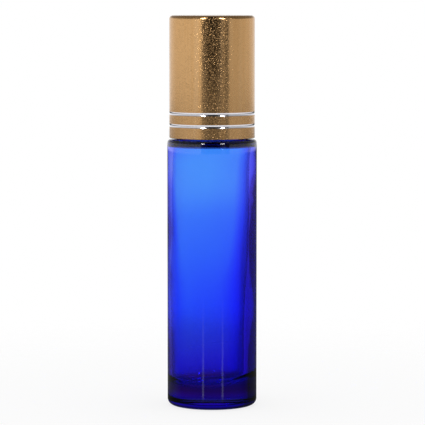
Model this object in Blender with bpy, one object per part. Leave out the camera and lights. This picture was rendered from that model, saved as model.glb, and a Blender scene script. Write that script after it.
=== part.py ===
"""A roll-on bottle for 10 ml of perfume or oil, standing closed on its base.

Its six pieces share the Z axis. A steel ball rolls in a plastic housing, which is snapped into the
neck of a thick glass bottle. The cap is a drawn aluminium shell over a moulded liner that screws on
the neck, with a foam pad that presses on the ball. Widths build up from the ball outwards, so what
goes round it still fits when a size changes. Heights count from the table.
"""

import math

import bmesh
import bpy

MM = 0.001

# Gaps between pieces
snug_gap = 0.1 * MM  # pressed, snapped or pushed together
running_gap = 0.15 * MM  # round the ball, and between the two threads
seat_gap = 0.3 * MM  # between a piece and what it comes down on

# Ball
ball_radius = 4.8 * MM
ball_rise = 1.3 * MM  # from the rim of the neck up to the ball's centre

# Roller housing
socket_wall = 0.3 * MM  # the least wall, where the socket passes through the neck
plug_length = 7.6 * MM
plug_chamfer = 0.6 * MM
plug_ring_depth = 0.25 * MM
plug_ring_width = 1.0 * MM
plug_ring_shares = (0.12, 0.5)  # of the plug's straight length, up to the middle of each ring
seat_width = 0.5 * MM  # the cone between the socket and the feed hole
feed_flare = 0.7 * MM
flange_step = 0.4 * MM  # how far the flange stays inside the neck's own width
flange_thickness = 0.9 * MM
cup_wall = 1.3 * MM
cup_round = 0.6 * MM

# Glass body
body_radius = 9.9 * MM
body_height = 59.2 * MM  # up to the flat of the shoulder
shoulder_round = 0.75 * MM
heel_round = 1.45 * MM
foot_ring_width = 1.65 * MM  # the flat ring that the bottle stands on
punt_depth = 0.6 * MM  # of the shallow hollow inside that ring
floor_thickness = 4.1 * MM
floor_round = 1.7 * MM
lower_wall = 1.6 * MM
upper_wall = 1.3 * MM
shoulder_wall = 1.75 * MM
roof_round = 0.6 * MM
throat_round = 1.0 * MM

# Glass neck
neck_wall = 1.6 * MM
neck_height = 11.0 * MM
neck_foot_round = 0.6 * MM
rim_round = 0.5 * MM
bead_rise = 1.35 * MM  # from the shoulder up to the lower edge of the ring under the thread
bead_width = 1.5 * MM
bead_crest_width = 0.7 * MM

# Screw thread, right-handed, on the neck and in the liner
thread_lead = 2.5 * MM
thread_depth = 0.7 * MM
thread_bead_gap = 0.8 * MM  # from the bead up to the ridge
thread_rim_gap = 1.85 * MM  # from the ridge up to the rim
neck_foot_share = 0.6  # of the lead, taken by the foot of the neck's ridge
neck_crest_share = 0.28
liner_foot_share = 0.48
liner_crest_share = 0.2
liner_lift_share = 0.08  # a tight cap is pulled up against the underside of the neck's ridge
liner_first_turn = -0.55  # where the liner's ridge starts and ends, counted on the neck's
liner_last_turn_gap = 0.7
fade_turns = 0.12  # over which each end of a ridge sinks into its wall
root_share = 0.5  # of a ridge's depth, let into its wall

# Foam pad
pad_radius = 4.5 * MM
pad_thickness = 1.2 * MM
pad_chamfer = 0.2 * MM

# Cap liner
liner_wall = 0.85 * MM
liner_recess = 0.5 * MM  # from the shell's lower edge up to the liner's
liner_chamfer = 0.3 * MM
ceiling_thickness = 1.2 * MM
crown_height = 6.85 * MM  # of the skirt above the ceiling, which carries the top of the shell
collar_wall = 0.7 * MM
collar_drop = 1.0 * MM

# Cap shell
shell_wall = 0.45 * MM
shell_round = 0.8 * MM
edge_chamfer = 0.1 * MM
band_rises = (2.85 * MM, 5.5 * MM)  # from the shell's lower edge up to the middle of each cut band
band_width = 0.72 * MM
band_depth = 0.12 * MM

# How finely round shapes are drawn
ROUND_SIDES = 40
BALL_RINGS = 14
CORNER_STEPS = 3
LARGE_CORNER_STEPS = 4
SOCKET_STEPS = 6
MOUTH_ANGLE = 22.5  # degrees above the ball's middle, where the housing closes over it
SEAT_ANGLE = -42  # degrees below the ball's middle, where it sits
FILLET_SHARE = 0.45  # the most that a round may take of the width it lies in
SMOOTH_ANGLE = math.radians(32)
WELD = 1e-7  # far under any size here, so only points meant to be one are joined

# Radii that follow from these sizes, from the ball outwards
socket_radius = ball_radius + running_gap
plug_core_radius = socket_radius + socket_wall
plug_radius = plug_core_radius + plug_ring_depth
bore_radius = plug_radius + snug_gap
neck_radius = bore_radius + neck_wall
thread_crest_radius = neck_radius + thread_depth
liner_bore_radius = thread_crest_radius + running_gap
liner_radius = liner_bore_radius + liner_wall
shell_bore_radius = liner_radius + snug_gap
shell_radius = shell_bore_radius + shell_wall

# Heights that follow from these sizes, from the table upwards
cap_height = body_height + seat_gap
bead_height = body_height + bead_rise + bead_width / 2
neck_foot_width = thread_lead * neck_foot_share
thread_start_height = bead_height + bead_width / 2 + thread_bead_gap + neck_foot_width / 2
rim_height = body_height + neck_height
thread_end_height = rim_height - thread_rim_gap - neck_foot_width / 2
thread_turns = (thread_end_height - thread_start_height) / thread_lead
flange_height = rim_height + snug_gap
ball_height = rim_height + ball_rise
pad_height = ball_height + ball_radius + seat_gap
ceiling_height = pad_height + pad_thickness + snug_gap
liner_top_height = ceiling_height + ceiling_thickness + crown_height
shell_top_height = liner_top_height + snug_gap + shell_wall


def fitted(size, *widths):
    """A round or a chamfer, made smaller where the widths that it lies in are too narrow for it."""
    return min(size, *(FILLET_SHARE * width for width in widths))


def arc(centre_radius, centre_height, radius, start, end, steps=CORNER_STEPS):
    """Points of a round stretch of an outline, between two angles: 0 points outwards and 90 up."""
    turns = [math.radians(start + (end - start) * i / steps) for i in range(steps + 1)]
    return [(centre_radius + radius * math.cos(a), centre_height + radius * math.sin(a)) for a in turns]


def without_repeats(outline):
    """The outline with each point kept once, where two stretches end on the same spot."""
    kept = [outline[0]]
    for point in outline[1:]:
        if math.dist(point, kept[-1]) > WELD:
            kept.append(point)
    return kept


def finished(name, shape, material=None, parent=None, location=(0, 0, 0)):
    """Makes the object of a bmesh, smooth where it is round and sharp at its edges."""
    bmesh.ops.remove_doubles(shape, verts=shape.verts, dist=WELD)
    bmesh.ops.recalc_face_normals(shape, faces=shape.faces)
    mesh = bpy.data.meshes.new(name)
    shape.to_mesh(mesh)
    shape.free()
    mesh.shade_smooth()
    mesh.set_sharp_from_angle(angle=SMOOTH_ANGLE)
    if material:
        mesh.materials.append(material)
    piece = bpy.data.objects.new(name, mesh)
    piece.location = location
    piece.parent = parent
    bpy.context.scene.collection.objects.link(piece)
    return piece


def turned(name, outline, material, parent=None, on_axis=False):
    """Spins an outline of (radius, height) points about Z. It closes on itself, or on the axis."""
    shape = bmesh.new()
    points = [shape.verts.new((radius, 0, height)) for radius, height in without_repeats(outline)]
    following = points[1:] if on_axis else points[1:] + points[:1]
    edges = [shape.edges.new(pair) for pair in zip(points, following)]
    bmesh.ops.spin(
        shape,
        geom=points + edges,
        cent=(0, 0, 0),
        axis=(0, 0, 1),
        dvec=(0, 0, 0),
        angle=math.tau,
        steps=ROUND_SIDES,
        use_merge=True,
    )
    return finished(name, shape, material, parent)


def ridge(name, wall_radius, crest_radius, foot_width, crest_width, start_height, first_turn, last_turn):
    """A helper solid: a thread's ridge, whose middle is at start_height at turn 0."""
    depth = crest_radius - wall_radius
    root_radius = wall_radius - depth * root_share
    # The flanks keep their slope below the wall's face, so the root is wider than the foot.
    flank_slope = (foot_width - crest_width) / 2 / depth
    root_half_width = foot_width / 2 + flank_slope * (wall_radius - root_radius)
    steps = round((last_turn - first_turn) * ROUND_SIDES)
    shape = bmesh.new()
    sections = []
    for i in range(steps + 1):
        turn = first_turn + (last_turn - first_turn) * i / steps
        fade = min(1, (turn - first_turn) / fade_turns, (last_turn - turn) / fade_turns)
        crest = root_radius + (crest_radius - root_radius) * fade
        crest_half_width = root_half_width - flank_slope * (crest - root_radius)
        angle = math.tau * turn
        middle = start_height + thread_lead * turn
        corners = (
            (root_radius, middle - root_half_width),
            (crest, middle - crest_half_width),
            (crest, middle + crest_half_width),
            (root_radius, middle + root_half_width),
        )
        sections.append([shape.verts.new((r * math.cos(angle), r * math.sin(angle), z)) for r, z in corners])
    for lower, upper in zip(sections, sections[1:]):
        for i in range(len(lower)):
            shape.faces.new((lower[i - 1], lower[i], upper[i], upper[i - 1]))
    shape.faces.new(sections[0])
    shape.faces.new(sections[-1])
    helper = finished(name, shape)
    helper.hide_render = True
    helper.display_type = "WIRE"
    return helper


def join(piece, helper):
    """Unites a helper solid with a piece, by a Boolean that stays on the piece."""
    union = piece.modifiers.new(helper.name, "BOOLEAN")
    union.operation = "UNION"
    union.solver = "EXACT"
    union.object = helper


def surface(name, colour, roughness, metallic=0.0, transmission=0.0, ior=1.5):
    """A plain material with the colour and gloss of the real one."""
    material = bpy.data.materials.new(name)
    material.use_nodes = True
    shader = material.node_tree.nodes["Principled BSDF"]
    shader.inputs["Base Color"].default_value = (*colour, 1)
    shader.inputs["Roughness"].default_value = roughness
    shader.inputs["Metallic"].default_value = metallic
    shader.inputs["Transmission Weight"].default_value = transmission
    shader.inputs["IOR"].default_value = ior
    material.diffuse_color = (*colour, 1)
    return material


def glass_bottle(material):
    """One moulding: thick floor, walls that thin upwards, flat shoulder, and a threaded neck."""
    punt_radius = body_radius - heel_round - foot_ring_width
    floor_height = floor_thickness + punt_depth
    floor_wall_radius = body_radius - lower_wall
    roof_height = body_height - shoulder_wall
    roof_wall_radius = body_radius - upper_wall
    shoulder_width = body_radius - neck_radius
    roof_width = roof_wall_radius - bore_radius
    shoulder_corner = fitted(shoulder_round, shoulder_width)
    neck_corner = fitted(neck_foot_round, shoulder_width, bead_rise)
    rim_corner = fitted(rim_round, neck_wall)
    throat_corner = fitted(throat_round, roof_width)
    roof_corner = fitted(roof_round, roof_width)
    # The hollow under the base is a shallow bowl, part of a large sphere.
    bowl_radius = (punt_radius**2 + punt_depth**2) / (2 * punt_depth)
    bowl_edge = math.degrees(math.asin(punt_radius / bowl_radius))
    outline = [
        *arc(0, punt_depth - bowl_radius, bowl_radius, 90, 90 - bowl_edge),
        *arc(body_radius - heel_round, heel_round, heel_round, -90, 0, LARGE_CORNER_STEPS),
        *arc(body_radius - shoulder_corner, body_height - shoulder_corner, shoulder_corner, 0, 90),
        *arc(neck_radius + neck_corner, body_height + neck_corner, neck_corner, 270, 180),
        (neck_radius, bead_height - bead_width / 2),
        (thread_crest_radius, bead_height - bead_crest_width / 2),
        (thread_crest_radius, bead_height + bead_crest_width / 2),
        (neck_radius, bead_height + bead_width / 2),
        *arc(neck_radius - rim_corner, rim_height - rim_corner, rim_corner, 0, 90),
        *arc(bore_radius + rim_corner, rim_height - rim_corner, rim_corner, 90, 180),
        *arc(bore_radius + throat_corner, roof_height + throat_corner, throat_corner, 180, 270),
        *arc(roof_wall_radius - roof_corner, roof_height - roof_corner, roof_corner, 90, 0),
        *arc(floor_wall_radius - floor_round, floor_height + floor_round, floor_round, 0, -90),
        (0, floor_height),
    ]
    bottle = turned("glass_bottle", outline, material, on_axis=True)
    thread = ridge(
        "neck_thread",
        neck_radius,
        thread_crest_radius,
        neck_foot_width,
        thread_lead * neck_crest_share,
        thread_start_height,
        0,
        thread_turns,
    )
    join(bottle, thread)
    return bottle


def roller_housing(material):
    """A plug in the neck's bore, a flange on its rim, and a cup whose mouth keeps the ball in."""
    seat_radius = socket_radius * math.cos(math.radians(SEAT_ANGLE))
    seat_height = ball_height + socket_radius * math.sin(math.radians(SEAT_ANGLE))
    feed_radius = seat_radius - seat_width
    mouth_radius = socket_radius * math.cos(math.radians(MOUTH_ANGLE))
    mouth_height = ball_height + socket_radius * math.sin(math.radians(MOUTH_ANGLE))
    cup_radius = socket_radius + cup_wall
    cup_corner = fitted(cup_round, cup_radius - mouth_radius)
    flange_radius = neck_radius - flange_step
    plug_foot = flange_height - plug_length
    foot_chamfer = fitted(plug_chamfer, plug_core_radius - feed_radius)
    foot_flare = fitted(feed_flare, plug_core_radius - feed_radius)
    straight_foot = plug_foot + foot_chamfer
    outline = [
        (feed_radius + foot_flare, plug_foot),
        (plug_core_radius - foot_chamfer, plug_foot),
        (plug_core_radius, straight_foot),
    ]
    for share in plug_ring_shares:
        middle = straight_foot + (flange_height - straight_foot) * share
        outline += [
            (plug_core_radius, middle - plug_ring_width / 2),
            (plug_radius, middle),
            (plug_core_radius, middle + plug_ring_width / 2),
        ]
    outline += [
        (plug_core_radius, flange_height),
        (flange_radius, flange_height),
        (flange_radius, flange_height + flange_thickness),
        (cup_radius, flange_height + flange_thickness),
        *arc(cup_radius - cup_corner, mouth_height - cup_corner, cup_corner, 0, 90),
        *arc(0, ball_height, socket_radius, MOUTH_ANGLE, SEAT_ANGLE, SOCKET_STEPS),
        (feed_radius, seat_height - seat_width),
        (feed_radius, plug_foot + foot_flare),
    ]
    return turned("roller_housing", outline, material)


def roller_ball(material):
    """A plain bearing ball, with its origin at its centre."""
    shape = bmesh.new()
    bmesh.ops.create_uvsphere(shape, u_segments=2 * BALL_RINGS, v_segments=BALL_RINGS, radius=ball_radius)
    return finished("roller_ball", shape, material, location=(0, 0, ball_height))


def sealing_pad(material):
    """A die-cut disc of foam, held in the liner's collar, that presses on the ball."""
    pad_top = pad_height + pad_thickness
    outline = [
        (0, pad_height),
        (pad_radius - pad_chamfer, pad_height),
        (pad_radius, pad_height + pad_chamfer),
        (pad_radius, pad_top - pad_chamfer),
        (pad_radius - pad_chamfer, pad_top),
        (0, pad_top),
    ]
    return turned("sealing_pad", outline, material, on_axis=True)


def cap_liner(material, parent):
    """The moulded inner cap: a threaded skirt, a ceiling with a collar for the pad, and a crown."""
    liner_foot = cap_height + liner_recess
    collar_bore = pad_radius + snug_gap
    collar_radius = collar_bore + collar_wall
    crown_floor = ceiling_height + ceiling_thickness
    edge = fitted(liner_chamfer, liner_wall)
    outline = [
        (0, ceiling_height),
        (collar_bore, ceiling_height),
        (collar_bore, ceiling_height - collar_drop),
        (collar_radius, ceiling_height - collar_drop),
        (collar_radius, ceiling_height),
        (liner_bore_radius, ceiling_height),
        (liner_bore_radius, liner_foot + edge),
        (liner_bore_radius + edge, liner_foot),
        (liner_radius, liner_foot),
        (liner_radius, liner_top_height - edge),
        (liner_radius - edge, liner_top_height),
        (liner_bore_radius, liner_top_height),
        (liner_bore_radius, crown_floor),
        (0, crown_floor),
    ]
    liner = turned("cap_liner", outline, material, parent, on_axis=True)
    # The liner's ridge lies half a lead above the neck's, so each runs between the other's turns.
    thread = ridge(
        "liner_thread",
        liner_bore_radius,
        neck_radius + running_gap,
        thread_lead * liner_foot_share,
        thread_lead * liner_crest_share,
        thread_start_height + thread_lead / 2 + thread_lead * liner_lift_share,
        liner_first_turn,
        thread_turns - liner_last_turn_gap,
    )
    join(liner, thread)
    return liner


def cap_shell(material, parent):
    """A drawn aluminium cup with a rounded top edge and two bands cut through its colour."""
    inner_top = shell_top_height - shell_wall
    inner_round = max(shell_round - shell_wall, edge_chamfer)
    outer_top = shell_top_height - shell_round
    outline = [
        (0, inner_top),
        *arc(shell_bore_radius - inner_round, inner_top - inner_round, inner_round, 90, 0),
        (shell_bore_radius, cap_height),
        (shell_radius - edge_chamfer, cap_height),
        (shell_radius, cap_height + edge_chamfer),
    ]
    for rise in band_rises:
        middle = cap_height + rise
        outline += [
            (shell_radius, middle - band_width / 2),
            (shell_radius - band_depth, middle - band_width / 2 + band_depth),
            (shell_radius - band_depth, middle + band_width / 2 - band_depth),
            (shell_radius, middle + band_width / 2),
        ]
    outline += [
        *arc(shell_radius - shell_round, outer_top, shell_round, 0, 90, LARGE_CORNER_STEPS),
        (0, shell_top_height),
    ]
    return turned("cap_shell", outline, material, parent, on_axis=True)


def build():
    for old in list(bpy.data.objects):
        bpy.data.objects.remove(old)
    # The cap's pieces hang from an empty on the axis that the cap turns about and lifts along.
    cap_axis = bpy.data.objects.new("cap_axis", None)
    bpy.context.scene.collection.objects.link(cap_axis)
    glass_bottle(surface("cobalt glass", (0.01, 0.03, 0.55), 0.02, transmission=1.0, ior=1.52))
    roller_housing(surface("natural polyethylene", (0.82, 0.82, 0.8), 0.45))
    roller_ball(surface("polished steel", (0.6, 0.6, 0.61), 0.12, metallic=1.0))
    sealing_pad(surface("polyethylene foam", (0.85, 0.85, 0.84), 0.9))
    cap_liner(surface("white polypropylene", (0.86, 0.86, 0.85), 0.35), cap_axis)
    cap_shell(surface("gold anodised aluminium", (0.6, 0.38, 0.15), 0.3, metallic=1.0), cap_axis)


build()
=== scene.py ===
# A closed roll-on bottle in its finish: cobalt glass, ball and housing, and a gold cap with silver bands.
# Lengths are in metres. +Z is up, and the photograph looks along +Y.
import math

import bmesh
import bpy
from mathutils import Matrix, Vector, noise


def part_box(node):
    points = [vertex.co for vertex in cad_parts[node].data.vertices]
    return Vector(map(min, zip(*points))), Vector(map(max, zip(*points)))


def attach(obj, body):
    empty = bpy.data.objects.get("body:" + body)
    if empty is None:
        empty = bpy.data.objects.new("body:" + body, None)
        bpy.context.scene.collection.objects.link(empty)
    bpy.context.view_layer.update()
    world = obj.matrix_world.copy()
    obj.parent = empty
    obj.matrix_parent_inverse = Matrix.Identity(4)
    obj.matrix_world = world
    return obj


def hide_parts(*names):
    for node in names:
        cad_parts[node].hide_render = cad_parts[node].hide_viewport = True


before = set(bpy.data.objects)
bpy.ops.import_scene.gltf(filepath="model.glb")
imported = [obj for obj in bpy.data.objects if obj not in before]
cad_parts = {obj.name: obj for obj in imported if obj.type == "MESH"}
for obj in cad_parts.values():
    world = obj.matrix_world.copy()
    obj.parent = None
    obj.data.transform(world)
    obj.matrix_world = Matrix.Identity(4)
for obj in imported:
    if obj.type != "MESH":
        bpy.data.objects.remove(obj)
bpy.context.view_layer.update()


# Glass bottle
# One moulding of soda-lime glass, coloured right through with cobalt and blown in a two-part iron mould.
# The mould makes its outside true. The inside is shaped by air alone, so the hollow lies to one side of
# the axis and its floor leans.

MM = 0.001
bottle_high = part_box("glass_bottle")[1]
body_radius = bottle_high.x
rim_height = bottle_high.z
neck_height = 11.0 * MM
body_height = rim_height - neck_height
shoulder_round = 0.75 * MM
heel_round = 1.45 * MM
foot_ring_width = 1.65 * MM
punt_depth = 0.6 * MM
floor_thickness = 4.1 * MM
floor_round = 1.7 * MM
lower_wall = 1.6 * MM
upper_wall = 1.3 * MM
shoulder_wall = 1.75 * MM
roof_height = body_height - shoulder_wall
roof_round = 0.5 * MM
roof_slope = 20  # degrees that the hollow's roof rises towards the neck
throat_round = 1.0 * MM
neck_radius = 7.2 * MM
bore_radius = 5.6 * MM
neck_foot_round = 0.6 * MM
rim_round = 0.5 * MM
bead_height = body_height + 2.1 * MM
bead_width = 1.5 * MM
bead_gap = 0.8 * MM  # from the bead to the thread
thread_depth = 0.7 * MM
thread_lead = 2.5 * MM
thread_width = 1.5 * MM
thread_start = bead_height + bead_width / 2 + bead_gap + thread_width / 2
thread_turns = 1.6
fade_turns = 0.12  # over which an end of a thread sinks into its wall
flank_share = 0.3  # of a thread's width, for each flank
row_pitch = 0.08 * MM  # between the rows of points that draw a thread
hollow_shift_top = 0.2 * MM  # of the hollow off the bottle's axis, under its roof
hollow_shift_low = 0.65 * MM  # and at its floor
shift_share = 0.07  # of the hollow's height, over which its shift sets in under the roof
wall_ripple = 0.14 * MM
ripple_size = 5 * MM
ripple_squeeze = 0.45  # of its heights, which draws the ripple out upwards
ripple_share = 0.1  # of the hollow's height, over which the ripple sets in under the roof
floor_dish = 0.018 / MM  # how fast the hollow's floor rises to each side of its lowest line
floor_dip = -1.6 * MM  # of that lowest line, from the axis
dish_share = 0.3  # of the hollow's height, up which the floor's dish fades out of the wall
same_point = 1e-7  # points of an outline closer than this are one
on_axis = 1e-9  # a radius below this is the axis


def arc(centre_radius, centre_height, radius, start, end, steps=12):
    """Points of a round stretch of an outline, between two angles: 0 points outwards and 90 up."""
    turns = [math.radians(start + (end - start) * i / steps) for i in range(steps + 1)]
    return [(centre_radius + radius * math.cos(a), centre_height + radius * math.sin(a)) for a in turns]


def line(start, end, steps):
    """Points of a straight stretch of an outline, evenly spaced, both ends included."""
    return [tuple(s + (e - s) * i / steps for s, e in zip(start, end)) for i in range(steps + 1)]


def eased(share):
    """0 to 1 in a soft S, held at both ends."""
    share = min(1, max(0, share))
    return share * share * (3 - 2 * share)


def upright(radius, height, angle):
    """Where a point of an outline comes to lie when it is turned about Z by an angle."""
    return Vector((radius * math.cos(angle), radius * math.sin(angle), height))


def in_scene(name, data):
    """A new object in the scene."""
    made = bpy.data.objects.new(name, data)
    bpy.context.scene.collection.objects.link(made)
    return made


def meshed(name, shape):
    """A bmesh as an object in the scene."""
    mesh = bpy.data.meshes.new(name)
    shape.to_mesh(mesh)
    shape.free()
    return in_scene(name, mesh)


def turned(name, stretches, sides=256, sharp=35):
    """Turns an outline about Z. Each stretch is a list of (radius, height) points and where they go.

    Edges that turn by more than `sharp` degrees are shaded as edges.
    """
    shape = bmesh.new()
    rings = []
    last = None
    for points, placed in stretches:
        for radius, height in points:
            if last and math.dist(last, (radius, height)) < same_point:
                continue
            last = (radius, height)
            count = sides if radius > on_axis else 1
            spots = [placed(radius, height, math.tau * i / sides) for i in range(count)]
            rings.append([shape.verts.new(spot) for spot in spots])
    pairs = list(zip(rings, rings[1:]))
    if len(rings[0]) == sides and len(rings[-1]) == sides:
        pairs.append((rings[-1], rings[0]))
    for lower, upper in pairs:
        for i in range(sides):
            j = (i + 1) % sides
            corners = [lower[i % len(lower)], lower[j % len(lower)]]
            corners += [upper[j % len(upper)], upper[i % len(upper)]]
            shape.faces.new(list(dict.fromkeys(corners)))
    bmesh.ops.recalc_face_normals(shape, faces=shape.faces)
    piece = meshed(name, shape)
    piece.data.shade_smooth()
    piece.data.set_sharp_from_angle(angle=math.radians(sharp))
    return piece


def thread_rise(height, angle, start, first_turn, last_turn, width, depth):
    """How far a thread's ridge stands off its wall at one spot. Its section is a soft-cornered trapezoid."""
    rise = 0
    for whole in range(-2, 4):  # the turns on which a ridge could pass this angle
        turn = whole + angle / math.tau
        fade = eased(min(turn - first_turn, last_turn - turn) / fade_turns)
        off = abs(height - start - thread_lead * turn)
        rise = max(rise, depth * fade * eased((width / 2 - off) / (width * flank_share)))
    return rise


def necked(radius, height, angle):
    """A point of the neck's wall, with the ring under the thread and the thread itself."""
    off = abs(height - bead_height)
    ring = thread_depth * eased((bead_width / 2 - off) / (bead_width * flank_share))
    ridge = thread_rise(height, angle, thread_start, 0, thread_turns, thread_width, thread_depth)
    return upright(radius + max(ring, ridge), height, angle)


def hollowed(radius, height, angle):
    """A point of the hollow, which blown glass leaves a little off its axis, uneven and leaning."""
    down = (roof_height - height) / (roof_height - floor_thickness)
    shift = hollow_shift_top * eased(down / shift_share)
    shift += (hollow_shift_low - hollow_shift_top) * eased(down)
    place = upright(radius, height, angle)
    ripple = noise.noise(Vector((place.x, place.y, place.z * ripple_squeeze)) / ripple_size) * wall_ripple
    place += Vector((math.cos(angle), math.sin(angle), 0)) * ripple * eased(down / ripple_share)
    place.z += floor_dish * (place.x - floor_dip) ** 2 * eased((down - (1 - dish_share)) / dish_share)
    place.x -= shift
    return place


punt_radius = body_radius - heel_round - foot_ring_width
bowl_radius = (punt_radius**2 + punt_depth**2) / (2 * punt_depth)
bowl_edge = math.degrees(math.asin(punt_radius / bowl_radius))
floor_height = floor_thickness + punt_depth
upper_radius = body_radius - upper_wall
lower_radius = body_radius - lower_wall
neck_rows = round((rim_height - rim_round - body_height - neck_foot_round) / row_pitch)
glass_outside = [
    *arc(0, punt_depth - bowl_radius, bowl_radius, 90, 90 - bowl_edge),
    *arc(body_radius - heel_round, heel_round, heel_round, -90, 0, 16),
    *line((body_radius, heel_round), (body_radius, body_height - shoulder_round), 24),
    *arc(body_radius - shoulder_round, body_height - shoulder_round, shoulder_round, 0, 90, 14),
    *arc(neck_radius + neck_foot_round, body_height + neck_foot_round, neck_foot_round, 270, 180, 8),
]
glass_neck = line(
    (neck_radius, body_height + neck_foot_round), (neck_radius, rim_height - rim_round), neck_rows
)
roof_rise = (upper_radius - roof_round - bore_radius) * math.tan(math.radians(roof_slope))
throat_height = roof_height + roof_rise + throat_round / 2
glass_rim = [
    *arc(neck_radius - rim_round, rim_height - rim_round, rim_round, 0, 90, 8),
    *arc(bore_radius + rim_round, rim_height - rim_round, rim_round, 90, 180, 8),
    *arc(bore_radius + throat_round, throat_height, throat_round, 180, 270 - roof_slope, 8),
]
glass_inside = [
    *arc(upper_radius - roof_round, roof_height, roof_round, 90 - roof_slope, 0, 12),
    *line((upper_radius, roof_height), (lower_radius, floor_height + floor_round), 60),
    *arc(lower_radius - floor_round, floor_height + floor_round, floor_round, 0, -90, 18),
    *line((lower_radius - floor_round, floor_height), (0, floor_height), 10),
]
bottle = turned(
    "cobalt_bottle",
    [(glass_outside, upright), (glass_neck, necked), (glass_rim, upright), (glass_inside, hollowed)],
)


def linear(hex_colour):
    """An sRGB hex colour as the linear values that a shader takes."""
    parts = [int(hex_colour[i : i + 2], 16) / 255 for i in (1, 3, 5)]
    return (*[p / 12.92 if p <= 0.04045 else ((p + 0.055) / 1.055) ** 2.4 for p in parts], 1)


def add(tree, kind, values=(), stops=(), **settings):
    """Adds a node with its settings.

    The values go to its inputs by name, or else in their order. Each is a number, a colour, an output, or a
    node, which gives its first output in use. A colour ramp's stops are (position, colour) pairs.
    """
    made = tree.nodes.new("ShaderNode" + kind)
    for name, value in settings.items():
        setattr(made, name, value)
    for name, value in values.items() if isinstance(values, dict) else enumerate(values):
        if isinstance(value, bpy.types.Node):
            value = next(output for output in value.outputs if output.enabled)
        if isinstance(value, bpy.types.NodeSocket):
            tree.links.new(value, made.inputs[name])
        else:
            made.inputs[name].default_value = value
    if stops:
        elements = made.color_ramp.elements
        while len(elements) < len(stops):
            elements.new(0.5)
        for element, (position, colour) in zip(elements, stops):
            element.position = position
            element.color = linear(colour) if isinstance(colour, str) else colour
    return made


def new_material(name):
    """An empty material, its node tree, and where on its piece the shaded spot lies."""
    material = bpy.data.materials.new(name)
    material.use_nodes = True
    tree = material.node_tree
    tree.nodes.clear()
    return material, tree, add(tree, "TexCoord").outputs["Object"]


# Soda-lime glass with cobalt oxide, blown and fire-finished: glossy and clear, and its blue comes from its
# depth, so thin walls stay azure and the thick foot goes near black. The iron mould leaves the slightest
# ripple. The real glass has one colour all through. The tints below stand partly for its uneven wall and are
# partly painted shade: darker low down, near black at the foot, and dark at the shoulder and at the edges.
glass_depth_colour = "#DC9AFE"  # the glass takes what this lacks of white, times its density
glass_density = 0.703 / MM
# Painted shade by height over the glass's own colour: darker low down, near black at the foot, a dark ring
# under the shoulder.
height_tint_and_shade_stops = [  # tints by height
    (0, "#202870"),
    (0.7 * MM, "#202870"),
    (1.6 * MM, "#C840B4"),
    (2.8 * MM, "#C03068"),
    (3.6 * MM, "#A82840"),
    (4.4 * MM, "#902834"),
    (5.3 * MM, "#643460"),
    (6.5 * MM, "#4C50C4"),
    (7.8 * MM, "#5C64E0"),
    (9.4 * MM, "#6474E0"),
    (12.4 * MM, "#668EE4"),
    (16.5 * MM, "#66A0EA"),
    (21 * MM, "#66B3FF"),
    (27 * MM, "#6CC1FF"),
    (34 * MM, "#73D4FF"),
    (42 * MM, "#7EE4FF"),
    (47 * MM, "#8EF8FF"),
    (50 * MM, "#92FCFF"),
    (body_height - shoulder_round - 0.25 * MM, "#8CF8FF"),
    # the dark ring at the shoulder is painted shade
    (body_height - shoulder_round, "#383860"),
    (body_height, "#2C2C58"),
    (body_height + neck_foot_round, "#90E8FF"),
]
# Painted shade that darkens the glass where it is seen edge on.
edge_shade_stops = [  # tints by how edge-on the glass is seen, and how thick it is there
    (0.3, "#FFFFFF"),
    (0.45, "#C8C0FF"),
    (0.6, "#9890E8"),
    (0.75, "#6C4C94"),
    (0.88, "#6C4888"),
    (1.0, "#301430"),
]
left_to_right = (-body_radius, body_radius)
inside_to_outside = (body_radius - 0.6 * MM, body_radius - 0.3 * MM)  # radii, from the hollow's skin outwards
skin_set_in = (3 * MM, 4 * MM)  # heights between which the hollow's skin takes up its own tint
skin_least_height = 9 * MM  # it has the tint of this height, up to there
sideways_gain = (-0.14, 0.22)  # added to how edge-on the glass counts as seen, from left to right
low_stretch = (55 * MM, 28 * MM)  # heights down which more is added
high_gain = -0.13  # at the top of that stretch
low_gains = (0.06, 0.2)  # at its foot, in the hollow's skin and outside
wave_stretch = (23.5 * MM, 55.5 * MM)  # heights of one whole wave
wave_lead = 0.45  # radians that the wave runs ahead on the right and lags on the left
wave_trough = -0.1
wave_crests = (0.2, 0.5)  # on the left and right
wave_facing = (0.36, 0.5)  # how edge-on the glass must be seen for the wave to show
sway = 0.6  # radians by which patches of glass lead or lag
sway_size = 7 * MM
sway_noise = (0.3, 0.7)  # what the noise hardly ever leaves

cobalt_glass, tree, place = new_material("cobalt soda-lime glass, blown")
where = add(tree, "SeparateXYZ", [place]).outputs
across, height = where["X"], where["Z"]
flat = add(tree, "VectorMath", [place, (1, 1, 0)], operation="MULTIPLY")
off_axis = add(tree, "VectorMath", [flat], operation="LENGTH")
# Low down, the skin of the hollow has the lighter tint of a greater height, so that the foot's dark tints and
# painted shade don't colour the same light twice.
skin_height = add(tree, "MapRange", [height, *skin_set_in, 0, skin_least_height])
skin = add(tree, "MapRange", [off_axis, *inside_to_outside, skin_height, 0])
lifted = add(tree, "Math", [height, skin], operation="MAXIMUM")
height_share = add(tree, "MapRange", [lifted, 0, rim_height])
stops = [(stop / rim_height, colour) for stop, colour in height_tint_and_shade_stops]
height_tint_and_shade = add(tree, "ValToRGB", [height_share], stops=stops)
# The wall is thicker on the right and low down, and the light behind is darker low down, so the painted shade
# at the edges reaches further in there, though less in the hollow's skin.
right = add(tree, "MapRange", [across, *left_to_right, *sideways_gain])
low_gain = add(tree, "MapRange", [off_axis, *inside_to_outside, *low_gains])
low = add(tree, "MapRange", [height, *low_stretch, high_gain, low_gain])
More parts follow.
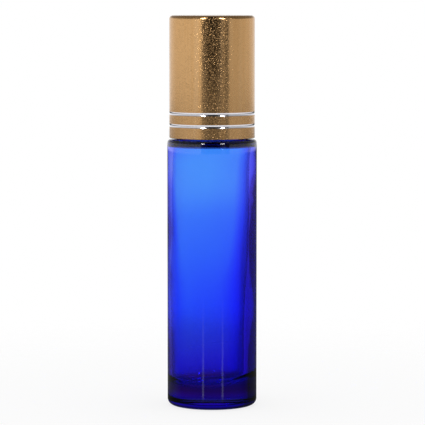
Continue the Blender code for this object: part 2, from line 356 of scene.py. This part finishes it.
# Seen edge on, the outer skin also darkens in one slow wave up the bottle, whose crest is lower and
# stronger on the right. It is painted shade, for the dark surroundings that an unevenly blown wall bends into
# view.
facing = add(tree, "LayerWeight", {"Blend": 0.5}).outputs["Facing"]
phase = add(tree, "MapRange", [height, *wave_stretch, -math.pi, math.pi], clamp=False)
patches = add(tree, "TexNoise", {"Vector": place, "Scale": 1 / sway_size, "Detail": 2})
patches = add(tree, "MapRange", [patches, *sway_noise, -sway, sway])
phase = add(tree, "Math", [phase, patches], operation="ADD")
lead = add(tree, "MapRange", [across, *left_to_right, -wave_lead, wave_lead])
phase = add(tree, "Math", [phase, lead], operation="ADD")
crest = add(tree, "MapRange", [across, *left_to_right, *wave_crests])
wave = add(tree, "Math", [phase], operation="COSINE")
wave = add(tree, "MapRange", [wave, -1, 1, wave_trough, crest])
sideways = add(tree, "MapRange", [facing, *wave_facing])
wave_shows = add(tree, "MapRange", [off_axis, *inside_to_outside, 0, sideways])
wave = add(tree, "Math", [wave, wave_shows], operation="MULTIPLY")
edge_on = add(tree, "Math", [facing, wave], operation="ADD")
edge_on = add(tree, "Math", [edge_on, right], operation="ADD")
edge_on = add(tree, "Math", [edge_on, low], operation="ADD")
edge = add(tree, "ValToRGB", [edge_on], stops=edge_shade_stops)
# The colours that a Mix takes are its inputs 6 and 7.
tint = add(tree, "Mix", {"Factor": 1, 6: height_tint_and_shade, 7: edge}, data_type="RGBA", blend_type="MULTIPLY")
ripple = add(tree, "TexNoise", {"Vector": place, "Scale": 1 / (6 * MM), "Detail": 1})
relief = add(tree, "Bump", {"Height": ripple, "Strength": 0.15, "Distance": 0.05 * MM})
glass = add(
    tree,
    "BsdfPrincipled",
    {"Base Color": tint, "Roughness": 0, "IOR": 1.52, "Transmission Weight": 1, "Normal": relief},
)
depth = add(tree, "VolumeAbsorption", {"Color": linear(glass_depth_colour), "Density": glass_density})
add(tree, "OutputMaterial", {"Surface": glass, "Volume": depth})
bottle.data.materials.append(cobalt_glass)
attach(bottle, "bottle")
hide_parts("glass_bottle")


# Roller housing
# A soft plug moulded in natural polyethylene and pressed into the neck, where two rings hold it. Its flange
# lies on the glass rim, and its cup snaps over the ball.

ball_low, ball_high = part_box("roller_ball")
ball_height = (ball_low.z + ball_high.z) / 2
socket_radius = 4.95 * MM
plug_core_radius = 5.25 * MM
plug_radius = 5.5 * MM
plug_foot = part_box("roller_housing")[0].z
plug_chamfer = 0.6 * MM
plug_ring_width = 1.0 * MM
plug_ring_shares = (0.12, 0.5)  # of the way up the plug
flange_radius = 6.8 * MM
flange_gap = 0.1 * MM
flange_low = rim_height + flange_gap
flange_thickness = 0.9 * MM
flange_high = flange_low + flange_thickness
flange_edge = 0.2 * MM
cup_radius = 6.25 * MM
cup_round = 0.6 * MM
mouth_angle = 22.5
seat_angle = -42
seat_width = 0.5 * MM
feed_flare = 0.7 * MM

mouth_height = ball_height + socket_radius * math.sin(math.radians(mouth_angle))
seat_radius = socket_radius * math.cos(math.radians(seat_angle))
seat_height = ball_height + socket_radius * math.sin(math.radians(seat_angle))
feed_radius = seat_radius - seat_width
straight_foot = plug_foot + plug_chamfer
housing_outline = [
    (feed_radius + feed_flare, plug_foot),
    *arc(plug_core_radius - plug_chamfer, straight_foot, plug_chamfer, -90, 0, 8),
]
for share in plug_ring_shares:
    middle = straight_foot + (flange_low - straight_foot) * share
    housing_outline += [
        (plug_core_radius, middle - plug_ring_width / 2),
        *arc(plug_core_radius, middle, plug_radius - plug_core_radius, -60, 60, 6),
        (plug_core_radius, middle + plug_ring_width / 2),
    ]
housing_outline += [
    (plug_core_radius, flange_low),
    *arc(flange_radius - flange_edge, flange_low + flange_edge, flange_edge, -90, 0, 5),
    *arc(flange_radius - flange_edge, flange_high - flange_edge, flange_edge, 0, 90, 5),
    *arc(cup_radius + flange_edge, flange_high + flange_edge, flange_edge, 270, 180, 5),
    *arc(cup_radius - cup_round, mouth_height - cup_round, cup_round, 0, 90, 10),
    *arc(0, ball_height, socket_radius, mouth_angle, seat_angle, 20),
    (feed_radius, seat_height - seat_width),
    (feed_radius, plug_foot + feed_flare),
]
housing = turned("ball_housing", [(housing_outline, upright)], sides=192)

# Natural low-density polyethylene, injection moulded: milky, a little light goes through it, and the
# polished mould leaves a waxy gloss with faint flow marks.
polyethylene, tree, place = new_material("natural polyethylene, injection moulded")
flow = add(tree, "TexNoise", {"Vector": place, "Scale": 1 / (2.5 * MM), "Detail": 4, "Distortion": 0.6})
milk = add(tree, "ValToRGB", [flow], stops=[(0.3, "#E6E8E6"), (0.7, "#F1F2F0")])
gloss = add(tree, "MapRange", [flow, 0, 1, 0.3, 0.44])
skin = add(tree, "TexNoise", {"Vector": place, "Scale": 1 / (0.3 * MM), "Detail": 2})
relief = add(tree, "Bump", {"Height": skin, "Strength": 0.12, "Distance": 0.02 * MM})
plastic = add(
    tree,
    "BsdfPrincipled",
    {
        "Base Color": milk,
        "Roughness": gloss,
        "IOR": 1.51,
        "Subsurface Weight": 0.35,
        "Subsurface Radius": (1.0, 0.95, 0.9),
        "Subsurface Scale": 1.2 * MM,
        "Normal": relief,
    },
)
add(tree, "OutputMaterial", {"Surface": plastic})
housing.data.materials.append(polyethylene)
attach(housing, "bottle")
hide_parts("roller_housing")


# Roller ball
# A bearing ball of stainless steel, ground and lapped round between iron plates, then polished. It is
# pressed past the mouth of the cup, which springs back over it, and carries the liquid up on its skin.

ball_radius = 4.8 * MM
ball_cuts = 40  # across each side of the cube that is drawn out to the ball

shape = bmesh.new()
bmesh.ops.create_cube(shape, size=2)
bmesh.ops.subdivide_edges(shape, edges=shape.edges[:], cuts=ball_cuts, use_grid_fill=True)
for point in shape.verts:
    # The tangent spaces the grid of each side evenly before it is drawn out to the sphere.
    even = Vector([math.tan(part * math.pi / 4) for part in point.co])
    point.co = even.normalized() * ball_radius + Vector((0, 0, ball_height))
ball = meshed("steel_ball", shape)
ball.data.shade_smooth()

# Stainless steel, lapped and polished: a near mirror, with the finest haze from the lapping paste and a few
# hairline marks from rolling. Both are drawn coarser than they are, so that they show.
steel, tree, place = new_material("stainless steel, lapped")
haze = add(tree, "TexNoise", {"Vector": place, "Scale": 1 / (1.5 * MM), "Detail": 5})
grey = add(tree, "ValToRGB", [haze], stops=[(0.3, "#D6D7DA"), (0.7, "#E2E3E4")])
gloss = add(tree, "MapRange", [haze, 0, 1, 0.06, 0.13])
drawn_out = add(tree, "Mapping", {"Vector": place, "Scale": (1, 14, 1.5), "Rotation": (0.6, 0.3, 0.9)})
marks = add(tree, "TexNoise", {"Vector": drawn_out, "Scale": 1 / (1.8 * MM), "Detail": 3})
relief = add(tree, "Bump", {"Height": marks, "Strength": 0.08, "Distance": 0.02 * MM})
metal = add(
    tree,
    "BsdfPrincipled",
    {"Base Color": grey, "Metallic": 1, "Roughness": gloss, "Normal": relief},
)
add(tree, "OutputMaterial", {"Surface": metal})
ball.data.materials.append(steel)
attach(ball, "ball")
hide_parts("roller_ball")


# Sealing pad
# A disc punched from white polyethylene foam sheet. The liner's collar holds it, and the ball has pressed a
# shallow dimple in its underside.

pad_low, pad_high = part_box("sealing_pad")
pad_radius = pad_high.x
pad_round = 0.22 * MM
dimple_radius = 2.6 * MM
dimple_depth = 0.14 * MM
cell_size = 0.45 * MM
cut_relief = 0.05 * MM  # of the cells round the punched edge
skin_relief = 0.03 * MM  # of the cells above and below


def foamed(radius, height, angle):
    """A point of the foam disc, dimpled below, with the cells of the foam showing in its skin."""
    place = upright(radius, height, angle)
    below = height < (pad_low.z + pad_high.z) / 2
    if below:
        place.z += dimple_depth * (1 - eased(radius / dimple_radius))
    cell = abs(noise.noise(place / cell_size))
    if radius > pad_radius - pad_round / 2:
        place += Vector((-math.cos(angle), -math.sin(angle), 0)) * cut_relief * cell
    else:
        place.z += skin_relief * cell * (1 if below else -1)
    return place


pad_outline = [
    *line((0, pad_low.z), (pad_radius - pad_round, pad_low.z), 24),
    *arc(pad_radius - pad_round, pad_low.z + pad_round, pad_round, -90, 0, 5),
    *line((pad_radius, pad_low.z + pad_round), (pad_radius, pad_high.z - pad_round), 6),
    *arc(pad_radius - pad_round, pad_high.z - pad_round, pad_round, 0, 90, 5),
    *line((pad_radius - pad_round, pad_high.z), (0, pad_high.z), 24),
]
pad = turned("foam_pad", [(pad_outline, foamed)], sides=160)

# Expanded polyethylene, skived and punched: matt white, with cut cells a few tenths of a millimetre across.
foam, tree, place = new_material("polyethylene foam, punched from sheet")
cells = add(tree, "TexVoronoi", {"Vector": place, "Scale": 1 / (0.32 * MM)})
pale = add(tree, "ValToRGB", [cells], stops=[(0.1, "#E4E4E1"), (0.6, "#F3F3F1")])
relief = add(tree, "Bump", {"Height": cells, "Strength": 0.6, "Distance": 0.06 * MM})
soft = add(
    tree,
    "BsdfPrincipled",
    {
        "Base Color": pale,
        "Roughness": 0.85,
        "IOR": 1.5,
        "Subsurface Weight": 0.2,
        "Subsurface Radius": (1.0, 1.0, 1.0),
        "Subsurface Scale": 0.4 * MM,
        "Normal": relief,
    },
)
add(tree, "OutputMaterial", {"Surface": soft})
pad.data.materials.append(foam)
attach(pad, "pad")
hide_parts("sealing_pad")


# Cap liner
# The part of the cap that works: a threaded skirt, a ceiling with a collar for the pad, and a crown that
# fills the shell up to its top. It is moulded in one, in white polypropylene, and pressed into the shell.

liner_low, liner_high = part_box("cap_liner")
liner_radius = liner_high.x
liner_bore_radius = 8.05 * MM
liner_edge = 0.3 * MM
liner_thread_radius = 7.35 * MM
liner_thread_depth = liner_bore_radius - liner_thread_radius
liner_thread_lag = 0.58  # of a turn, from the bottle's thread
liner_thread_start = thread_start + thread_lead * liner_thread_lag
liner_thread_width = 1.2 * MM
liner_first_turn = -0.55
liner_last_turn = 0.9
pad_gap = 0.1 * MM
ceiling_low = pad_high.z + pad_gap
ceiling_thickness = 1.2 * MM
ceiling_high = ceiling_low + ceiling_thickness
collar_bore = 4.6 * MM
collar_radius = 5.3 * MM
collar_depth = 1.0 * MM
collar_low = ceiling_low - collar_depth
collar_round = 0.15 * MM
thread_row_top = liner_low.z + 9.0 * MM  # above the last of the thread, so the rows can be coarse from there


def skirted(radius, height, angle):
    """A point of the liner's bore, with its thread standing inwards."""
    ridge = thread_rise(
        height,
        angle,
        liner_thread_start,
        liner_first_turn,
        liner_last_turn,
        liner_thread_width,
        liner_thread_depth,
    )
    return upright(radius - ridge, height, angle)


liner_rows = round((thread_row_top - liner_low.z - liner_edge) / row_pitch)
liner_ceiling = [
    *line((0, ceiling_low), (collar_bore, ceiling_low), 4),
    *arc(collar_bore + collar_round, collar_low + collar_round, collar_round, 180, 270, 4),
    *arc(collar_radius - collar_round, collar_low + collar_round, collar_round, 270, 360, 4),
    (collar_radius, ceiling_low),
    (liner_bore_radius, ceiling_low),
    (liner_bore_radius, thread_row_top),
]
liner_bore = line(
    (liner_bore_radius, thread_row_top), (liner_bore_radius, liner_low.z + liner_edge), liner_rows
)
liner_outside = [
    *arc(liner_bore_radius + liner_edge, liner_low.z + liner_edge, liner_edge, 180, 270, 5),
    *arc(liner_radius - liner_edge / 2, liner_low.z + liner_edge / 2, liner_edge / 2, 270, 360, 4),
    *arc(liner_radius - liner_edge, liner_high.z - liner_edge, liner_edge, 0, 90, 5),
    (liner_bore_radius, liner_high.z),
    (liner_bore_radius, ceiling_high),
    (0, ceiling_high),
]
liner = turned("cap_inner", [(liner_ceiling, upright), (liner_bore, skirted), (liner_outside, upright)])

# White polypropylene, injection moulded: opaque satin white with the mould's fine spark-eroded grain.
polypropylene, tree, place = new_material("white polypropylene, injection moulded")
flow = add(tree, "TexNoise", {"Vector": place, "Scale": 1 / (3 * MM), "Detail": 4})
pale = add(tree, "ValToRGB", [flow], stops=[(0.3, "#EDEDEA"), (0.7, "#F4F4F2")])
gloss = add(tree, "MapRange", [flow, 0, 1, 0.34, 0.46])
grain = add(tree, "TexNoise", {"Vector": place, "Scale": 1 / (0.15 * MM), "Detail": 3})
relief = add(tree, "Bump", {"Height": grain, "Strength": 0.2, "Distance": 0.01 * MM})
plastic = add(
    tree,
    "BsdfPrincipled",
    {
        "Base Color": pale,
        "Roughness": gloss,
        "IOR": 1.49,
        "Subsurface Weight": 0.1,
        "Subsurface Radius": (1.0, 1.0, 1.0),
        "Subsurface Scale": 0.5 * MM,
        "Normal": relief,
    },
)
add(tree, "OutputMaterial", {"Surface": plastic})
liner.data.materials.append(polypropylene)
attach(liner, "cap")
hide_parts("cap_liner")


# Cap shell
# A cup drawn from aluminium sheet, etched to a fine grain and anodised gold. Two bands are then cut through
# the colour on a lathe with a diamond, which leaves bright bare metal, as does the trimmed lower edge.

shell_low, shell_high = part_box("cap_shell")
shell_radius = shell_high.x
shell_wall = 0.45 * MM
shell_round = 0.8 * MM
shell_bore_radius = shell_radius - shell_wall
lower_edge = 0.1 * MM
band_rises = (2.85 * MM, 5.5 * MM)  # of the bands' middles, over the lower edge
band_width = 0.72 * MM
band_depth = 0.06 * MM
crisp = 12  # degrees, so that the shallow bands keep their edges

inner_top = shell_high.z - shell_wall
inner_round = shell_round - shell_wall
shell_outline = [
    (0, inner_top),
    *arc(shell_bore_radius - inner_round, inner_top - inner_round, inner_round, 90, 0, 6),
    (shell_bore_radius, shell_low.z + lower_edge / 2),
    (shell_bore_radius + lower_edge / 2, shell_low.z),
    (shell_radius - lower_edge, shell_low.z),
    (shell_radius, shell_low.z + lower_edge),
]
cut_radius = ((band_width / 2) ** 2 + band_depth**2) / (2 * band_depth)
cut_centre = shell_radius - band_depth + cut_radius
half_angle = math.degrees(math.asin(band_width / 2 / cut_radius))
for rise in band_rises:
    shell_outline += arc(
        cut_centre, shell_low.z + rise, cut_radius, 180 + half_angle, 180 - half_angle, 10
    )
shell_outline += [
    *arc(shell_radius - shell_round, shell_high.z - shell_round, shell_round, 0, 90, 14),
    (0, shell_high.z),
]
shell = turned("gold_cap", [(shell_outline, upright)], sharp=crisp)

# Aluminium sheet, deep drawn, chemically etched and anodised gold: a satin metal. The etch leaves grains a
# few tenths of a millimetre across, which sparkle where the surroundings are dark, and the drawing leaves
# faint upright lines, which are drawn wider than they are, so that they show.
gold, tree, place = new_material("aluminium, drawn, etched and anodised gold")
drawn_out = add(tree, "Mapping", {"Vector": place, "Scale": (1, 1, 0.03)})
lines = add(tree, "TexNoise", {"Vector": drawn_out, "Scale": 1 / (1.2 * MM), "Detail": 3})
colour = add(tree, "ValToRGB", [lines], stops=[(0.3, "#CA9C66"), (0.5, "#CDA16D"), (0.7, "#D0A675")])
grains = add(tree, "TexVoronoi", {"Vector": place, "Scale": 1 / (0.32 * MM), "Randomness": 1})
pits = add(tree, "MapRange", [grains, 0, 0.22], interpolation_type="SMOOTHSTEP")
fine = add(tree, "TexNoise", {"Vector": place, "Scale": 1 / (0.18 * MM), "Detail": 2})
satin = add(tree, "MapRange", [fine, 0.5, 0.7, 0.1, 0.42])
etched = add(tree, "Bump", {"Height": pits, "Strength": 1, "Distance": 0.016 * MM})
relief = add(tree, "Bump", {"Height": fine, "Strength": 1, "Distance": 0.01 * MM, "Normal": etched})
metal = add(
    tree,
    "BsdfPrincipled",
    {"Base Color": colour, "Metallic": 1, "Roughness": satin, "Normal": relief},
)
add(tree, "OutputMaterial", {"Surface": metal})
shell.data.materials.append(gold)

# Bare aluminium, turned with a diamond: bright, with the tool's fine rings round the axis. They are drawn
# coarser than a diamond leaves them, so that they show.
bright_cut, tree, place = new_material("aluminium, diamond turned")
ringed = add(tree, "Mapping", {"Vector": place, "Scale": (0.02, 0.02, 1)})
rings = add(tree, "TexNoise", {"Vector": ringed, "Scale": 1 / (0.12 * MM), "Detail": 1})
silver = add(tree, "ValToRGB", [rings], stops=[(0.3, "#DAD8DF"), (0.7, "#EDECF2")])
relief = add(tree, "Bump", {"Height": rings, "Strength": 0.1, "Distance": 0.01 * MM})
metal = add(
    tree,
    "BsdfPrincipled",
    {"Base Color": silver, "Metallic": 1, "Roughness": 0.12, "Normal": relief},
)
add(tree, "OutputMaterial", {"Surface": metal})
shell.data.materials.append(bright_cut)
for face in shell.data.polygons:
    spot = face.center
    around = math.hypot(spot.x, spot.y)
    in_band = any(abs(spot.z - shell_low.z - rise) < band_width / 2 for rise in band_rises)
    if around > shell_bore_radius and (in_band or spot.z < shell_low.z + lower_edge):
        face.material_index = 1
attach(shell, "cap")
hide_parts("cap_shell")


# Floor
# A white sheet that the bottle stands on. Most of its white is its own light, so that it fades into the
# white around it, and the rest is lit, so that the bottle's shadow shows.

floor_radius = 0.16
floor_sides = 96
floor_drop = 0.05 * MM  # so that the sheet and the foot don't share a plane
fade_out = (0.05, floor_radius)  # from the axis, where the sheet gives way to the white around it
own_light = 0.78
white = linear("#FFFFFF")
# Polished surfaces show no sheet, only a dark patch round the foot, painted shade that fades between two
# distances.
patch_light = 0.05
patch_end = (0.018, 0.03)

shape = bmesh.new()
bmesh.ops.create_circle(shape, cap_ends=True, segments=floor_sides, radius=floor_radius)
floor = meshed("floor", shape)
floor.location.z = -floor_drop
paper, tree, place = new_material("white card")
path = add(tree, "LightPath").outputs
seen = add(tree, "Math", [path["Is Camera Ray"], path["Is Transmission Ray"]], operation="MAXIMUM")
share = add(tree, "Math", [seen, own_light], operation="MULTIPLY")
lit = add(tree, "BsdfDiffuse", {"Color": linear("#F2F2F2")})
glow = add(tree, "Emission", {"Color": white, "Strength": 1})
card = add(tree, "MixShader", [share, lit, glow])
# Light that has gone through glass counts as glossy too, so it is taken off again.
mirrored = add(
    tree,
    "Math",
    [path["Is Glossy Ray"], path["Is Transmission Ray"]],
    operation="SUBTRACT",
    use_clamp=True,
)
patch = add(tree, "Emission", {"Color": white, "Strength": patch_light})
card = add(tree, "MixShader", [mirrored, card, patch])
out = add(tree, "VectorMath", [place], operation="LENGTH")
faded = add(tree, "MapRange", [out, *fade_out], interpolation_type="SMOOTHSTEP")
past_patch = add(tree, "MapRange", [out, *patch_end, 0, mirrored])
open_share = add(tree, "Math", [faded, past_patch], operation="MAXIMUM")
clear = add(tree, "BsdfTransparent")
sheet = add(tree, "MixShader", [open_share, card, clear])
add(tree, "OutputMaterial", {"Surface": sheet})
floor.data.materials.append(paper)


# Light
# A white tent all round, open at the front where the camera looks in, over a dark table. Only polished
# surfaces show its dim opening and the table, on which two lamps beside the camera draw a thin streak each.
# Everything else gets plain white light.

# (degrees, brightness). The degrees of the tent, the sides and the streaks go round the axis, from the
# camera to the right. Those of the ceiling and the table go up from the horizon. The sides dim the table,
# though not below their least.
tent_levels = [
    (-180, 1.0),
    (-29.5, 1.0),
    (-28, 0.2),
    (-12, 0.02),
    (8, 0.02),
    (20, 0.05),
    (27, 0.25),
    (33, 0.25),
    (37, 0.1),
    (45, 0.12),
    (46.5, 0.7),
    (70, 0.72),
    (140, 0.95),
    (180, 1.0),
]
ceiling_levels = [(-90, 1.0), (5, 1.0), (18, 0.3), (90, 0.15)]
table_levels = [(-90, 0.06), (-8, 0.06), (-7, 0.13), (-5.9, 0.26), (-4.4, 0.42), (-3.4, 0.6), (90, 0.6)]
side_levels = [(-180, 0.3), (-120, 0.3), (-70, 1), (70, 1), (110, 0.15), (180, 0.15)]
side_least = [(-180, 0.12), (-110, 0.12), (-70, 0), (70, 0), (110, 0.07), (180, 0.07)]
streak_levels = [
    (-180, 0),
    (-26, 0),
    (-24, 1),
    (-22, 1),
    (-20, 0),
    (24, 0),
    (26, 1),
    (28, 1),
    (30, 0),
    (180, 0),
]
# Angles up from the horizon between which the streaks set in, the table begins and it ends. Nearer than
# that it is white again, so that a view from higher up finds it bright.
streak_fade = (math.radians(-6.8), math.radians(-9.3))
table_edge = (math.radians(-3.1), math.radians(-3.45))
table_foot = (math.radians(-10.3), math.radians(-12))


def greys(levels):
    """The stops of a ramp that runs from -180 to 180 degrees, for (degrees, brightness) pairs."""
    return [((degrees + 180) / 360, (level, level, level, 1)) for degrees, level in levels]


world = bpy.data.worlds.new("tent")
world.use_nodes = True
bpy.context.scene.world = world
tree = world.node_tree
tree.nodes.clear()
where = add(tree, "SeparateXYZ", [add(tree, "TexCoord").outputs["Generated"]]).outputs
towards_camera = add(tree, "Math", [where["Y"], -1], operation="MULTIPLY")
azimuth = add(tree, "Math", [where["X"], towards_camera], operation="ARCTAN2")
azimuth = add(tree, "MapRange", [azimuth, -math.pi, math.pi])
rise = add(tree, "Math", [where["Z"]], operation="ARCSINE")
height = add(tree, "MapRange", [rise, -math.pi, math.pi])
tent = add(tree, "ValToRGB", [azimuth], stops=greys(tent_levels))
ceiling = add(tree, "ValToRGB", [height], stops=greys(ceiling_levels))
tent = add(tree, "Mix", {"Factor": 1, 6: tent, 7: ceiling}, data_type="RGBA", blend_type="MULTIPLY")
table = add(tree, "ValToRGB", [height], stops=greys(table_levels))
sides = add(tree, "ValToRGB", [azimuth], stops=greys(side_levels))
table = add(tree, "Mix", {"Factor": 1, 6: table, 7: sides}, data_type="RGBA", blend_type="MULTIPLY")
least = add(tree, "ValToRGB", [azimuth], stops=greys(side_least))
table = add(tree, "Mix", {"Factor": 1, 6: table, 7: least}, data_type="RGBA", blend_type="LIGHTEN")
near = add(tree, "MapRange", [rise, *streak_fade])
streaks = add(tree, "ValToRGB", [azimuth], stops=greys(streak_levels))
table = add(tree, "Mix", {"Factor": near, 6: table, 7: streaks}, data_type="RGBA", blend_type="ADD")
under = add(tree, "MapRange", [rise, *table_foot])
table = add(tree, "Mix", {"Factor": under, 6: table, 7: white}, data_type="RGBA", blend_type="MIX")
below = add(tree, "MapRange", [rise, *table_edge])
around = add(tree, "Mix", {"Factor": below, 6: tent, 7: table}, data_type="RGBA", blend_type="MIX")
path = add(tree, "LightPath").outputs
mirrored = add(
    tree,
    "Math",
    [path["Is Glossy Ray"], path["Is Transmission Ray"]],
    operation="SUBTRACT",
    use_clamp=True,
)
seen = add(tree, "Mix", {"Factor": mirrored, 6: white, 7: around}, data_type="RGBA", blend_type="MIX")
surroundings = add(tree, "Background", {"Color": seen, "Strength": 1})
add(tree, "OutputWorld", {"Surface": surroundings})

lamp_bearings = (-25, 29)
lamp_elevation = math.radians(29)
lamp_distance = 0.6
lamp_width = 0.07
lamp_length = 0.3
lamp_power = 1.6
target = Vector((0, 0, body_height))
for degrees in lamp_bearings:
    light = bpy.data.lights.new("front_lamp", "AREA")
    light.shape = "RECTANGLE"
    light.size = lamp_width
    light.size_y = lamp_length
    light.energy = lamp_power
    lamp = in_scene("front_lamp", light)
    bearing = math.radians(degrees)
    reach = lamp_distance * math.cos(lamp_elevation)
    lamp.location = (
        reach * math.sin(bearing),
        -reach * math.cos(bearing),
        body_height + lamp_distance * math.sin(lamp_elevation),
    )
    lamp.rotation_euler = (target - lamp.location).to_track_quat("-Z", "Y").to_euler()
    lamp.visible_diffuse = False  # it only adds highlights, and the tent gives the rest of the light


# Camera
# As in the photograph: a long lens a little above the cap, looking down by five degrees.

camera_place = (0.1 * MM, -565 * MM, 92.4 * MM)
camera_tilt = 84.99  # degrees up from straight down
focal_length = 216.5  # in millimetres, like the sensor's width
sensor_width = 36

camera_data = bpy.data.cameras.new("camera")
camera_data.lens = focal_length
camera_data.sensor_width = sensor_width
camera_data.clip_end = 10
camera = in_scene("camera", camera_data)
camera.location = camera_place
camera.rotation_euler = (math.radians(camera_tilt), 0, 0)
bpy.context.scene.camera = camera
bpy.context.scene.view_settings.view_transform = "Standard"
